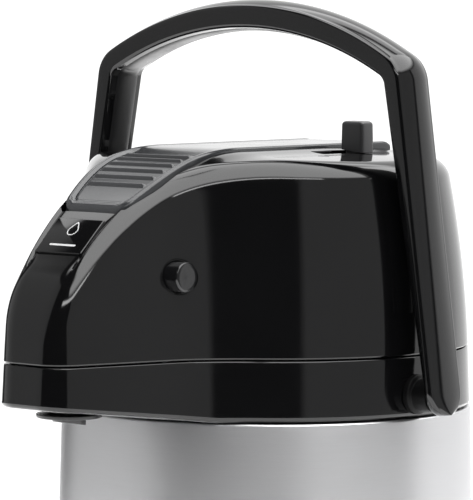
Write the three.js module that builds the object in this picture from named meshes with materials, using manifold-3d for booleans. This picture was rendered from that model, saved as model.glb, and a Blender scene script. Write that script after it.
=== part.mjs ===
// Thermal air pot: a vacuum flask in a steel shell, with a swivelling base, a swinging bail
// handle, and a hinged lid that holds the push lever, the air bellows, a travel lock and two
// release buttons. Millimetres, +Z up. The origin is on the underside of the base pad, on the
// body's axis; the spout points along -Y.
import * as THREE from 'three';
import { mergeVertices } from 'three/addons/utils/BufferGeometryUtils.js';
import Module from 'manifold-3d';

const wasm = await Module();
wasm.setup();

// ---------------------------------------------------------------- driving dimensions

const GAP = 0.3;                  // between pieces that touch or are pressed together

// heights above the table
const COLLAR_Z = 186;             // underside of the collar, top of the steel shell
const SEAM_Z = COLLAR_Z + 23.5;   // parting line between the collar and the lid
const BASE_Z = 9.5;               // underside of the base ring, top of the turntable's glide
const SHELL_Z = 26;               // lower edge of the steel shell
const DECK_Z = COLLAR_Z + 10;     // the collar's deck, between the shell and the lid
const TRAY_Z = DECK_Z + 3;        // upper side of the deck
const COLLAR_TOP_Z = SEAM_Z - 0.2;
const LID_FOOT_Z = SEAM_Z + GAP;

// plan outline, shared by the collar and the lid
const NECK_R = 79.15;             // round part, at the parting line
const COLLAR_R = 80;              // round part, at the collar's underside
const SHELL_FOOT_R = 84.1;        // steel shell at its lower edge
const BEAK_FRONT = 136.5;         // front face of the beak, ahead of the axis
const BEAK_HALF = 20.7;           // half width of the beak ...
const BEAK_HALF_Y = 118.7;        // ... at this distance ahead of the axis
const BEAK_FLARE = 0.287;         // widening of the beak per mm towards the axis
const BEAK_CORNER = 9;            // plan radius of the beak's front corners
const BEAK_BLEND = 12;            // concave radius where the beak meets the round body
const BEAK_RISE = 0.112;          // slope of the beak's underside ...
const BEAK_RISE_Y = 73;           // ... ahead of this distance
const PLAN_CENTRE_Y = -30;        // every outline is seen whole from this point

// lid dome, heights above the collar's underside
const TOP_H = 99.5;               // crown
const RAMP_BACK = 40;             // the top is level behind this distance ahead of the axis
const RAMP_REACH = 128.5;         // the front slope is a near ellipse: half length along Y ...
const RAMP_DEPTH = 184;           // ... half height along Z ...
const RAMP_POWER = 2.14;          // ... and squareness
const CROWN_DROP = 3.2;           // fall of the top at CROWN_R from the middle
const CROWN_R = 72;
const LEAN_LINEAR = 0.0421;       // inward lean of the walls, per mm of height ...
const LEAN_SQUARE = 0.001134;     // ... and per mm squared
const EDGE_R = 7;                 // rounding between the walls and the top
const LID_WALL = 2.6;

// push lever
const LEVER_FRONT = 101;
const LEVER_REAR = -50;
const LEVER_NECK = -66;           // the sides are parallel behind this y
const LEVER_HALF = 21.5;          // half width there ...
const LEVER_FRONT_HALF = 15.4;    // ... and at the front end
const LEVER_SKIRT = 9;            // depth of the sides
const LEVER_SKIN = 3;             // thickness of the top
const GRIP_HALF = 14.5;           // half width of the ribbed insert
const LEVER_LIFT = 2.4;           // height of the lever above the lid's top
const LEVER_PIVOT = { y: 44, z: COLLAR_Z + 90 };
const PIN_R = 2;
const PIN_PLAY = 0.3;

// air pump, on the body's axis
const BELLOWS_Z = SEAM_Z + 6.2;
const BELLOWS_TOP = 250;
const BELLOWS_R = { valley: 23.5, fold: 27.8, skin: 1.4 };
const SPRING_R = 15;
const PLUNGER_Y = -8;             // the push plate reaches up to the lever ahead of the axis

// lid hinge
const HINGE = { y: 83.2, z: 208, barrelR: 3.6, pinR: 1.5 };

// handle
const PIVOT = { y: -5.5, z: COLLAR_Z + 9 };
const HANDLE_HALF = 9.5;          // half width, front to back
const ARCH_R = 145;               // outside radius of the arch, about ARCH_Z
const ARCH_Z = COLLAR_Z + 11;
const ARM_LOW = { x: 94.2, z: COLLAR_Z + 12.4 };
const ARM_HIGH = { x: 79, z: COLLAR_Z + 117.8 };
const SHOULDER_R = 13;            // bend between arm and arch
const ARCH_THICK = 9;             // edge thickness at the top of the arch
const ARM_THICK = 4;              // edge thickness at the pivots

// outlet and buttons
const OUTLET_Y = -113;
const BUTTON = { y: -84, z: COLLAR_Z + 55.1, r: 5.8, start: 24, end: 33 };
const LATCH = { near: 22.1, far: 23.7, half: 4, hook: 1.6 };
const BADGE = { y: -114.5, halfX: 11, halfY: 9, thick: 1 };

// travel lock: a knob that slides along a slot beside the lever
const KNOB = { x0: 27.2, x1: 38.2, y0: 11.8, y1: 19.3, top: COLLAR_Z + 111 };
const SLOT = { x0: 28.2, x1: 35.4, y0: -8, y1: 20.6 };

// ---------------------------------------------------------------- finishes

const GLOSS_BLACK = { color: 0x0b0b0c, roughness: 0.12, metalness: 0 };
const SATIN_BLACK = { color: 0x151516, roughness: 0.45, metalness: 0 };
const SATIN_GREY = { color: 0x4a4a4b, roughness: 0.4, metalness: 0 };
const LEVER_GREY = { color: 0x333335, roughness: 0.25, metalness: 0 };
const STEEL = { color: 0xc4c5c7, roughness: 0.3, metalness: 1 };
const BRIGHT_STEEL = { color: 0xd6d7d9, roughness: 0.15, metalness: 1 };
const RUBBER = { color: 0x18181a, roughness: 0.85, metalness: 0 };
const PALE_SEAL = { color: 0xd9d8d2, roughness: 0.6, metalness: 0 };
const WHITE_PLASTIC = { color: 0xe6e6e2, roughness: 0.5, metalness: 0 };

const airpot = new THREE.Group();

function part(name, geometry, finish) {
  const mesh = new THREE.Mesh(geometry, new THREE.MeshStandardMaterial(finish));
  mesh.name = name;
  airpot.add(mesh);
}

// ---------------------------------------------------------------- solids

// A closed manifold-3d solid from a closed geometry.
function toSolid(geometry) {
  const bare = geometry.clone();
  bare.deleteAttribute('normal');
  bare.deleteAttribute('uv');
  const merged = mergeVertices(bare, 1e-4);
  const index = merged.index.array;
  const kept = [];
  for (let i = 0; i < index.length; i += 3) {
    const [a, b, c] = [index[i], index[i + 1], index[i + 2]];
    if (a !== b && b !== c && c !== a) kept.push(a, b, c);
  }
  const vertProperties = Float32Array.from(merged.attributes.position.array);
  const triVerts = Uint32Array.from(kept);
  return new wasm.Manifold(new wasm.Mesh({ numProp: 3, vertProperties, triVerts }));
}

function toGeometry(solid) {
  const { vertProperties, triVerts } = solid.getMesh();
  const geometry = new THREE.BufferGeometry();
  geometry.setAttribute('position', new THREE.BufferAttribute(vertProperties, 3));
  geometry.setIndex(new THREE.BufferAttribute(triVerts, 1));
  return geometry;
}

function cut(geometry, ...tools) {
  return toGeometry(tools.reduce((solid, tool) => solid.subtract(toSolid(tool)), toSolid(geometry)));
}

function join(geometry, ...others) {
  return toGeometry(others.reduce((solid, other) => solid.add(toSolid(other)), toSolid(geometry)));
}

function common(geometry, other) {
  return toGeometry(toSolid(geometry).intersect(toSolid(other)));
}

function box(x0, x1, y0, y1, z0, z1) {
  const geometry = new THREE.BoxGeometry(x1 - x0, y1 - y0, z1 - z0);
  return geometry.translate((x0 + x1) / 2, (y0 + y1) / 2, (z0 + z1) / 2);
}

// A body of revolution about Z: [radius, height] points, up the outside and down the inside.
function turned(profile, segments = 36) {
  const points = profile.map(([r, z]) => new THREE.Vector2(r, z));
  return new THREE.LatheGeometry(points, segments).rotateX(Math.PI / 2);
}

function ring(inner, outer, z0, z1, segments = 28) {
  const profile = [[inner, z0], [outer, z0], [outer, z1], [inner, z1], [inner, z0]];
  return turned(profile, segments);
}

function disc(r, z0, z1, segments = 28) {
  return turned([[0, z0], [r, z0], [r, z1], [0, z1]], segments);
}

// The same shapes lying along X, about the line at (y, z).
function rodX(r, x0, x1, y, z, segments = 20) {
  return disc(r, x0, x1, segments).rotateY(Math.PI / 2).translate(0, y, z);
}

function ringX(inner, outer, x0, x1, y, z, segments = 24) {
  return ring(inner, outer, x0, x1, segments).rotateY(Math.PI / 2).translate(0, y, z);
}

// A flat outline of [y, z] points, thickened from x0 to x1.
function plateX(outline, x0, x1) {
  const shape = new THREE.Shape(outline.map(([y, z]) => new THREE.Vector2(y, z)));
  const geometry = new THREE.ExtrudeGeometry(shape, { depth: x1 - x0, bevelEnabled: false });
  const axes = new THREE.Matrix4().makeBasis(
    new THREE.Vector3(0, 1, 0),
    new THREE.Vector3(0, 0, 1),
    new THREE.Vector3(1, 0, 0),
  );
  return geometry.applyMatrix4(axes).translate(x0, 0, 0);
}

// A flat outline of [x, y] points, thickened from z0 to z1.
function plateZ(outline, z0, z1) {
  const shape = new THREE.Shape(outline.map(([x, y]) => new THREE.Vector2(x, y)));
  const geometry = new THREE.ExtrudeGeometry(shape, { depth: z1 - z0, bevelEnabled: false });
  return geometry.translate(0, 0, z0);
}

// A closed skin over successive loops of points. A loop of one point is a pole; with wrap set
// the last loop joins the first.
function loft(loops, wrap = false) {
  const positions = [];
  const starts = [];
  for (const loop of loops) {
    starts.push(positions.length / 3);
    for (const [x, y, z] of loop) positions.push(x, y, z);
  }
  const index = [];
  const pairs = wrap ? loops.length : loops.length - 1;
  for (let k = 0; k < pairs; k += 1) {
    const next = (k + 1) % loops.length;
    const [lower, upper] = [loops[k].length, loops[next].length];
    const count = Math.max(lower, upper);
    if (count === 1) continue;
    for (let i = 0; i < count; i += 1) {
      const j = (i + 1) % count;
      const a = starts[k] + (lower === 1 ? 0 : i);
      const b = starts[k] + (lower === 1 ? 0 : j);
      const c = starts[next] + (upper === 1 ? 0 : j);
      const d = starts[next] + (upper === 1 ? 0 : i);
      if (lower > 1) index.push(a, b, c);
      if (upper > 1) index.push(a, c, d);
    }
  }
  const geometry = new THREE.BufferGeometry();
  geometry.setAttribute('position', new THREE.Float32BufferAttribute(positions, 3));
  geometry.setIndex(index);
  return volume(geometry) < 0 ? reversed(geometry) : geometry;
}

function volume(geometry) {
  const { array } = geometry.attributes.position;
  const corner = (n) => new THREE.Vector3(array[3 * n], array[3 * n + 1], array[3 * n + 2]);
  const index = geometry.index.array;
  let sum = 0;
  for (let i = 0; i < index.length; i += 3) {
    sum += corner(index[i]).dot(corner(index[i + 1]).cross(corner(index[i + 2])));
  }
  return sum / 6;
}

function reversed(geometry) {
  const index = Array.from(geometry.index.array).reverse();
  geometry.setIndex(index);
  return geometry;
}

// ---------------------------------------------------------------- plan outline and dome

// Both meet a shape's edge at 0 and are negative inside it.
function roundIntersection(a, b, r) {
  return Math.min(-r, Math.max(a, b)) + Math.hypot(Math.max(a + r, 0), Math.max(b + r, 0));
}

function roundUnion(a, b, r) {
  return Math.max(r, Math.min(a, b)) - Math.hypot(Math.max(r - a, 0), Math.max(r - b, 0));
}

// Distance outside the plan outline at the parting line: a circle with a flared beak.
function planDistance(x, y) {
  const circle = Math.hypot(x, y) - NECK_R;
  const halfWidth = BEAK_HALF + BEAK_FLARE * (y + BEAK_HALF_Y);
  const side = (Math.abs(x) - halfWidth) * Math.cos(Math.atan(BEAK_FLARE));
  const front = -BEAK_FRONT - y;
  const beak = Math.max(roundIntersection(side, front, BEAK_CORNER), y);
  return roundUnion(circle, beak, BEAK_BLEND);
}

// Distance outside the lid's outer skin.
function lidDistance(x, y, z) {
  const h = z - COLLAR_Z;
  const rise = Math.max(h - (SEAM_Z - COLLAR_Z), 0);
  const wall = planDistance(x, y) + LEAN_LINEAR * rise + LEAN_SQUARE * rise * rise;
  const crown = CROWN_DROP * ((x / CROWN_R) ** 2 + (Math.max(y, 0) / CROWN_R) ** 2);
  const forward = Math.max(-y - RAMP_BACK, 0);
  const upward = h + crown - TOP_H + RAMP_DEPTH;
  const reach = Math.pow(
    Math.pow(forward / RAMP_REACH, RAMP_POWER) + Math.pow(upward / RAMP_DEPTH, RAMP_POWER),
    1 / RAMP_POWER,
  );
  const top = Math.hypot(forward, upward) * (1 - 1 / reach);
  return roundIntersection(wall, top, EDGE_R);
}

// Height of the lid's top over the centre line, y mm ahead of the axis.
function rampHeight(ahead) {
  const forward = Math.max(ahead - RAMP_BACK, 0) / RAMP_REACH;
  const upward = Math.pow(1 - Math.pow(forward, RAMP_POWER), 1 / RAMP_POWER);
  return COLLAR_Z + TOP_H - RAMP_DEPTH * (1 - upward);
}

// Walks outward from the plan centre until the distance function reaches the level.
function reachAlong(distance, direction, start, level) {
  let [near, far] = [0, 160];
  for (let step = 0; step < 40; step += 1) {
    const middle = (near + far) / 2;
    const point = start.map((value, axis) => value + middle * direction[axis]);
    if (distance(...point) < level) near = middle;
    else far = middle;
  }
  return start.map((value, axis) => value + near * direction[axis]);
}

// Angles around the plan centre from the spout, closer together at the beak.
const HALF_STEPS = 21;
const AROUND = [];
for (let i = -HALF_STEPS; i < HALF_STEPS; i += 1) {
  const t = i / HALF_STEPS;
  AROUND.push(Math.PI * (0.5 * t + 0.5 * t ** 3));
}

function planLoop(inset, heightAt) {
  return AROUND.map((angle) => {
    const direction = [Math.sin(angle), -Math.cos(angle)];
    const [x, y] = reachAlong(planDistance, direction, [0, PLAN_CENTRE_Y], -inset);
    return [x, y, heightAt(x, y)];
  });
}

function domeLoop(elevation, inset) {
  return AROUND.map((angle) => {
    const flat = Math.cos(elevation);
    const direction = [Math.sin(angle) * flat, -Math.cos(angle) * flat, Math.sin(elevation)];
    return reachAlong(lidDistance, direction, [0, PLAN_CENTRE_Y, LID_FOOT_Z], -inset);
  });
}

// The point of the lid's skin over (x, y), raised by a clearance.
function topPoint(x, y, clearance) {
  const [, , z] = reachAlong(lidDistance, [0, 0, 1], [x, y, LID_FOOT_Z], 0);
  return [x, y, z + clearance];
}

// A loop of one point, at the mean height of a loop.
function pole(loop, x = 0, y = PLAN_CENTRE_Y) {
  return [[x, y, loop.reduce((sum, point) => sum + point[2], 0) / loop.length]];
}

// A solid between two loops, closed by a cap at each end.
function capped(loops, x, y) {
  return loft([pole(loops[0], x, y), ...loops, pole(loops[loops.length - 1], x, y)]);
}

// A prism that stands on a loop of the plan outline and reaches up to z1.
function prism(loop, z1) {
  return capped([loop, loop.map(([x, y]) => [x, y, z1])]);
}

// ---------------------------------------------------------------- turntable (stands on the table)

function buildTurntable() {
  part('turntable_pad', disc(70, 0, 1.6, 48), RUBBER);
  const hubHole = disc(2.3, 11, 30, 16);
  const plate = turned([
    [0, 1.9], [74, 1.9], [76.5, 3.5], [76.5, 7], [11, 7], [11, 19.6], [0, 19.6],
  ]);
  part('turntable', cut(plate, hubHole), SATIN_BLACK);
  part('glide_ring', ring(58, 64, 7.3, BASE_Z - GAP), WHITE_PLASTIC);
  part('hub_washer', ring(2.4, 18, 20, 21.6, 32), STEEL);
  part('hub_screw', turned([
    [0, 12], [2, 12], [2, 21.9], [4.5, 21.9], [4.5, 23.4], [3, 24.4], [0, 24.4],
  ], 16), STEEL);
}

// ---------------------------------------------------------------- flask body

function buildBase() {
  part('base_ring', turned([
    [11.4, BASE_Z], [83, BASE_Z], [85, 11.5], [85, 25.5], [84.2, 25.7], [82.6, 25.7],
    [82.6, 12.5], [15, 12.5], [15, 19.6], [11.4, 19.6], [11.4, BASE_Z],
  ]), SATIN_BLACK);
  part('liner_cushion', turned([
    [30, 12.8], [72, 12.8], [76, 18], [76, 41.4], [74.4, 41.4], [74.4, 38], [70.2, 33.7],
    [30, 33.7], [30, 12.8],
  ], 28), RUBBER);
  part('outer_shell', turned([
    [SHELL_FOOT_R, SHELL_Z], [COLLAR_R + 0.25, COLLAR_Z - 1.2], [COLLAR_R - 0.6, COLLAR_Z - GAP],
    [75.9, COLLAR_Z - GAP], [75.9, COLLAR_Z + 8], [75.1, COLLAR_Z + 8], [75.1, COLLAR_Z - 1.1],
    [COLLAR_R - 0.9, COLLAR_Z - 1.3], [SHELL_FOOT_R - 0.8, SHELL_Z], [SHELL_FOOT_R, SHELL_Z],
  ], 48), STEEL);
}

// The vacuum flask: an outer wall, and an inner vessel welded up from a bottom, a body, a
// shoulder and a neck. Every weld, and the one at the mouth, is left open by the usual gap.
function buildLiner() {
  part('flask_outer_wall', turned([
    [0, 34], [70, 34], [74, 38], [74, 150], [60, 168], [38, 176], [36, 180], [36, 193.4],
    [35.2, 193.4], [35.2, 180.4], [37.6, 175.3], [59.5, 167.3], [73.2, 149.7], [73.2, 38.3],
    [69.7, 34.8], [0, 34.8],
  ], 28), BRIGHT_STEEL);
  part('flask_inner_bottom', turned([
    [0, 38], [66, 38], [70, 42], [69.2, 42.3], [65.7, 38.8], [0, 38.8],
  ], 28), BRIGHT_STEEL);
  part('flask_inner_body', ring(69.2, 70, 42.7, 147.3), BRIGHT_STEEL);
  part('flask_inner_shoulder', turned([
    [70, 147.8], [57, 163.5], [34.5, 171], [33.9, 170.3], [56.5, 162.8], [69.2, 147.6], [70, 147.8],
  ], 28), BRIGHT_STEEL);
  part('flask_inner_neck', turned([
    [32, 171.4], [32, 192.4], [34.9, 192.4], [34.9, 193.4], [31.2, 193.4], [31.2, 171.4],
    [32, 171.4],
  ], 28), BRIGHT_STEEL);
  part('neck_gasket', ring(31.6, 36.4, 193.7, 195.7), PALE_SEAL);
}

function buildCollar() {
  const beakFloor = (x, y) => COLLAR_Z + BEAK_RISE * Math.max(-y - BEAK_RISE_Y, 0);
  const lower = planLoop(-(COLLAR_R - NECK_R), beakFloor);
  const upper = planLoop(0, () => COLLAR_TOP_Z);
  const block = loft([[[0, PLAN_CENTRE_Y, COLLAR_Z]], lower, upper, pole(upper)]);
  const tray = prism(planLoop(2.8, () => TRAY_Z), SEAM_Z + 5);
  const shellSeat = disc(76.6, COLLAR_Z - 10, DECK_Z, 48);
  const neckHole = disc(31.5, DECK_Z - 5, SEAM_Z, 32);
  const nozzleHole = disc(7.4, COLLAR_Z - 5, SEAM_Z, 24).translate(0, OUTLET_Y, 0);
  const knuckle = (x0, x1) => join(
    rodX(HINGE.barrelR, x0, x1, HINGE.y, HINGE.z),
    box(x0, x1, 74, HINGE.y, HINGE.z - HINGE.barrelR, HINGE.z),
  );
  const hingeBore = rodX(HINGE.pinR + PIN_PLAY, -30, 30, HINGE.y, HINGE.z);
  const open = cut(block, tray, shellSeat, neckHole, nozzleHole);
  const whole = join(open, knuckle(-23, -14), knuckle(14, 23));
  part('collar', cut(whole, hingeBore), GLOSS_BLACK);
  part('lid_hinge_pin', rodX(HINGE.pinR, -22.5, 22.5, HINGE.y, HINGE.z, 16), STEEL);
}

// The pivots that the handle swings on: a shoulder against the collar and a spigot in the arm.
function buildPivots() {
  for (const [name, side] of [['left', -1], ['right', 1]]) {
    const boss = turned([
      [0, 80.3], [9, 80.3], [9, 82], [6.8, 82.6], [6.8, 88.6], [3.2, 88.6], [3.2, 92.2], [0, 92.2],
    ], 24);
    boss.rotateY(side * Math.PI / 2).translate(0, PIVOT.y, PIVOT.z);
    part(`handle_pivot_${name}`, boss, SATIN_BLACK);
  }
}

// The water's way out: up the dip tube, past a ball that shuts if the pot falls over, forward
// through the tube in the collar, and down through the nozzle.
function buildWaterWay() {
  part('dip_tube', ring(3.6, 5, 44, 190, 20), BRIGHT_STEEL);
  const holder = turned([
    [0, 187], [8.5, 187], [8.5, TRAY_Z + GAP], [36, TRAY_Z + GAP], [36, 206.8], [0, 206.8],
  ], 28);
  const well = turned([
    [0, 186], [5.3, 186], [5.3, 190.3], [3, 191.5], [3, 192.5], [4.4, 194], [4.4, 205], [0, 205],
  ], 20);
  const channel = disc(3.2, 0, 60, 16).rotateX(Math.PI / 2).translate(0, 0, 203);
  const airHole = disc(6, 190, 215, 20).translate(0, 22, 0);
  part('tube_holder', cut(holder, well, channel, airHole), WHITE_PLASTIC);
  part('tip_over_ball', new THREE.SphereGeometry(3.5, 12, 8).translate(0, 0, 197.2), BRIGHT_STEEL);
  const tubeLength = -OUTLET_Y - 8 - 36.3;
  const tube = ring(3.2, 4.4, 0, tubeLength, 20).rotateX(Math.PI / 2).translate(0, -36.3, 203.9);
  part('outlet_tube', tube, WHITE_PLASTIC);
  const elbow = join(
    box(-6.5, 6.5, OUTLET_Y - 6.5, OUTLET_Y + 7.5, TRAY_Z + GAP, 208.8),
    disc(6.8, COLLAR_Z + 4.6, TRAY_Z + 1, 24).translate(0, OUTLET_Y, 0),
  );
  const drop = disc(4, COLLAR_Z, 204.5, 20).translate(0, OUTLET_Y, 0);
  const inlet = disc(3.2, 0, 12, 16).rotateX(Math.PI / 2).translate(0, OUTLET_Y + 10, 203.9);
  part('spout_elbow', cut(elbow, drop, inlet), SATIN_BLACK);
  const flange = ring(4.2, 12.4, COLLAR_Z + 2.7, COLLAR_Z + 4.2);
  part('spout_flange', flange.translate(0, OUTLET_Y, 0), SATIN_BLACK);
  const nozzle = ring(4, 6.2, COLLAR_Z - 3, COLLAR_Z + 2.4, 28).translate(0, OUTLET_Y, 0);
  const slant = plateX([
    [OUTLET_Y - 8, COLLAR_Z - 6], [OUTLET_Y + 8, COLLAR_Z - 6], [OUTLET_Y + 8, COLLAR_Z - 1],
    [OUTLET_Y - 8, COLLAR_Z + 1.6],
  ], -9, 9);
  part('spout_nozzle', cut(nozzle, slant), SATIN_BLACK);
}

// ---------------------------------------------------------------- lid

function buildLidCover() {
  const levels = 10;
  const elevations = Array.from({ length: levels }, (_, k) => (k / levels) * Math.PI / 2);
  const outer = elevations.map((elevation) => domeLoop(elevation, 0));
  const inner = elevations.map((elevation) => domeLoop(elevation, LID_WALL));
  const crown = [topPoint(0, PLAN_CENTRE_Y, 0)];
  const ceiling = [topPoint(0, PLAN_CENTRE_Y, -LID_WALL)];
  const shell = loft([...outer, crown, ceiling, ...inner.reverse()], true);
  const leverHole = plateZ(leverPlan(0.6, 2), SEAM_Z + 30, COLLAR_Z + 120);
  const lockSlot = box(SLOT.x0, SLOT.x1, SLOT.y0, SLOT.y1, COLLAR_Z + 80, COLLAR_Z + 120);
  const buttonHole = rodX(8.2, -60, 60, BUTTON.y, BUTTON.z, 24);
  const knuckle = join(
    rodX(HINGE.barrelR, -13.5, 13.5, HINGE.y, HINGE.z),
    box(-13.5, 13.5, 77, HINGE.y, LID_FOOT_Z + 0.2, HINGE.z + HINGE.barrelR),
  );
  const hingeBore = rodX(HINGE.pinR + PIN_PLAY, -30, 30, HINGE.y, HINGE.z);
  const pierced = cut(shell, leverHole, lockSlot, buttonHole);
  part('lid_cover', cut(join(pierced, knuckle), hingeBore), GLOSS_BLACK);
}

// Half width of the lever: it widens from the front end to the neck.
function leverHalf(y) {
  const share = THREE.MathUtils.clamp((y + LEVER_FRONT) / (LEVER_NECK + LEVER_FRONT), 0, 1);
  return LEVER_FRONT_HALF + (LEVER_HALF - LEVER_FRONT_HALF) * (1 - (1 - share) ** 2);
}

// The plan of the lever, grown by a margin at the sides and the ends.
function leverPlan(side, end) {
  const ahead = [0, 1, 2, 3, 4].map((k) => THREE.MathUtils.lerp(-LEVER_FRONT, LEVER_NECK, k / 4));
  const right = ahead.map((y, k) => [leverHalf(y) + side, k === 0 ? y - end : y]);
  right.push([LEVER_HALF + side, -LEVER_REAR + end]);
  const left = right.map(([x, y]) => [-x, y]).reverse();
  return [...right, ...left];
}

// Places a flat piece on the front slope at the badge.
function badgeFrame() {
  const reach = 4;
  const fall = rampHeight(-BADGE.y - reach) - rampHeight(-BADGE.y + reach);
  const frame = new THREE.Matrix4().makeRotationX(Math.atan2(fall, 2 * reach));
  return frame.setPosition(0, BADGE.y, rampHeight(-BADGE.y));
}

function buildLidInside() {
  const plate = prism(planLoop(3.4, () => SEAM_Z + 0.9), SEAM_Z + 3.4);
  const pinBore = rodX(PIN_R + PIN_PLAY, -40, 40, LEVER_PIVOT.y, LEVER_PIVOT.z);
  const postX = LEVER_HALF + 2.7;
  const post = (side) => cut(
    box(side * postX - 2.1, side * postX + 2.1, 40, 48, SEAM_Z + 3, LEVER_PIVOT.z + 4),
    pinBore,
  );
  const latchWindow = (side) => box(side * 22 - 4.5, side * 22 + 4.5, -90, -78, SEAM_Z, SEAM_Z + 9);
  const pumpHole = disc(29, SEAM_Z - 5, SEAM_Z + 9);
  const floor = cut(plate, pumpHole, latchWindow(-1), latchWindow(1));
  part('lid_frame', join(floor, post(-1), post(1)), WHITE_PLASTIC);
  const pinHalf = postX + 2;
  part('lever_pin', rodX(PIN_R, -pinHalf, pinHalf, LEVER_PIVOT.y, LEVER_PIVOT.z, 16), STEEL);
  part('lid_seal', ring(24, 34, 207.1, SEAM_Z + 0.6), PALE_SEAL);
  part('pump_housing', turned([
    [22, SEAM_Z + 0.9], [28.7, SEAM_Z + 0.9], [28.7, SEAM_Z + 3.7], [34, SEAM_Z + 3.7],
    [34, SEAM_Z + 5.7], [30.5, SEAM_Z + 5.7], [30.5, SEAM_Z + 24], [29, SEAM_Z + 24],
    [29, SEAM_Z + 5.7], [22, SEAM_Z + 3.2], [22, SEAM_Z + 0.9],
  ], 28), WHITE_PLASTIC);
}

function buildPump() {
  const folds = 5;
  const pitch = (BELLOWS_TOP - BELLOWS_Z) / folds;
  const outside = [];
  for (let fold = 0; fold < folds; fold += 1) {
    outside.push([BELLOWS_R.valley, BELLOWS_Z + fold * pitch]);
    outside.push([BELLOWS_R.fold, BELLOWS_Z + (fold + 0.5) * pitch]);
  }
  outside.push([BELLOWS_R.valley, BELLOWS_TOP]);
  const inside = outside.map(([r, z]) => [r - BELLOWS_R.skin, z]).reverse();
  part('air_bellows', turned([...outside, ...inside, outside[0]], 24), RUBBER);
  const turns = 5;
  const steps = turns * 10;
  const coil = [];
  for (let step = 0; step <= steps; step += 1) {
    const angle = (step / steps) * turns * 2 * Math.PI;
    const z = BELLOWS_Z + 1 + (BELLOWS_TOP - BELLOWS_Z - 2) * (step / steps);
    coil.push(new THREE.Vector3(SPRING_R * Math.cos(angle), SPRING_R * Math.sin(angle), z));
  }
  const wire = new THREE.Shape();
  wire.absarc(0, 0, 0.9, 0, 2 * Math.PI, false);
  const path = new THREE.CatmullRomCurve3(coil);
  const options = { steps, extrudePath: path, curveSegments: 3 };
  part('bellows_spring', new THREE.ExtrudeGeometry(wire, options), STEEL);
  const tip = leverTop(PLUNGER_Y) - LEVER_SKIN - 0.9;
  const plunger = turned([
    [0, BELLOWS_TOP + GAP], [27.5, BELLOWS_TOP + GAP], [27.5, BELLOWS_TOP + 3], [8, BELLOWS_TOP + 5],
    [5, BELLOWS_TOP + 6], [5, tip - 1.4], [2, tip], [0, tip],
  ], 32);
  part('press_plate', plunger.translate(0, PLUNGER_Y, 0), WHITE_PLASTIC);
}

function buildBadge() {
  const plate = box(-BADGE.halfX, BADGE.halfX, -BADGE.halfY, BADGE.halfY, GAP, GAP + BADGE.thick);
  part('badge_plate', plate.applyMatrix4(badgeFrame()), GLOSS_BLACK);
}

function buildLock() {
  const knob = box(KNOB.x0, KNOB.x1, KNOB.y0, KNOB.y1, COLLAR_Z + 90, KNOB.top);
  const stem = box(SLOT.x0 + 1.2, SLOT.x1 - 1.2, 12.4, 18.7, COLLAR_Z + 88.6, COLLAR_Z + 102);
  part('lock_slider', join(cut(knob, lidTopBlock(0.5)), stem), SATIN_GREY);
  const tongueX = LEVER_HALF + 0.7;
  const tongue = box(tongueX, 36, 11.4, 19.7, COLLAR_Z + 85.8, COLLAR_Z + 88.3);
  part('lock_tongue', tongue, WHITE_PLASTIC);
}

// A block that fills the lid up to its skin round the lock, plus a clearance.
function lidTopBlock(clearance) {
  const corners = [[20, -15], [45, -15], [45, 30], [20, 30]];
  const top = corners.map(([x, y]) => topPoint(x, y, clearance));
  const low = corners.map(([x, y]) => [x, y, SEAM_Z]);
  return capped([low, top], 32.5, 7.5);
}

function buildButtons() {
  for (const [name, side] of [['left', -1], ['right', 1]]) {
    const onSide = (geometry) => geometry.rotateY(side * Math.PI / 2).translate(0, BUTTON.y, BUTTON.z);
    const cap = turned([
      [0, BUTTON.start], [BUTTON.r, BUTTON.start], [BUTTON.r, BUTTON.end - 1],
      [BUTTON.r - 1, BUTTON.end], [0, BUTTON.end],
    ], 24);
    part(`release_button_${name}`, onSide(cap), GLOSS_BLACK);
    part(`button_bush_${name}`, onSide(ring(6.1, 7.8, 24.6, 29.8, 24)), SATIN_BLACK);
    const slab = (far, z0, z1) => {
      const [x0, x1] = [side * LATCH.near, side * far].sort((a, b) => a - b);
      return box(x0, x1, BUTTON.y - LATCH.half, BUTTON.y + LATCH.half, z0, z1);
    };
    const arm = slab(LATCH.far, 203, BUTTON.z - 2);
    const hook = slab(LATCH.far + LATCH.hook, 201, 204);
    part(`latch_arm_${name}`, join(arm, hook), WHITE_PLASTIC);
  }
}

// ---------------------------------------------------------------- lever

function leverTop(y) {
  const lift = LEVER_LIFT * THREE.MathUtils.smoothstep(y, -LEVER_FRONT, LEVER_NECK);
  return rampHeight(-y) + lift;
}

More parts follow.
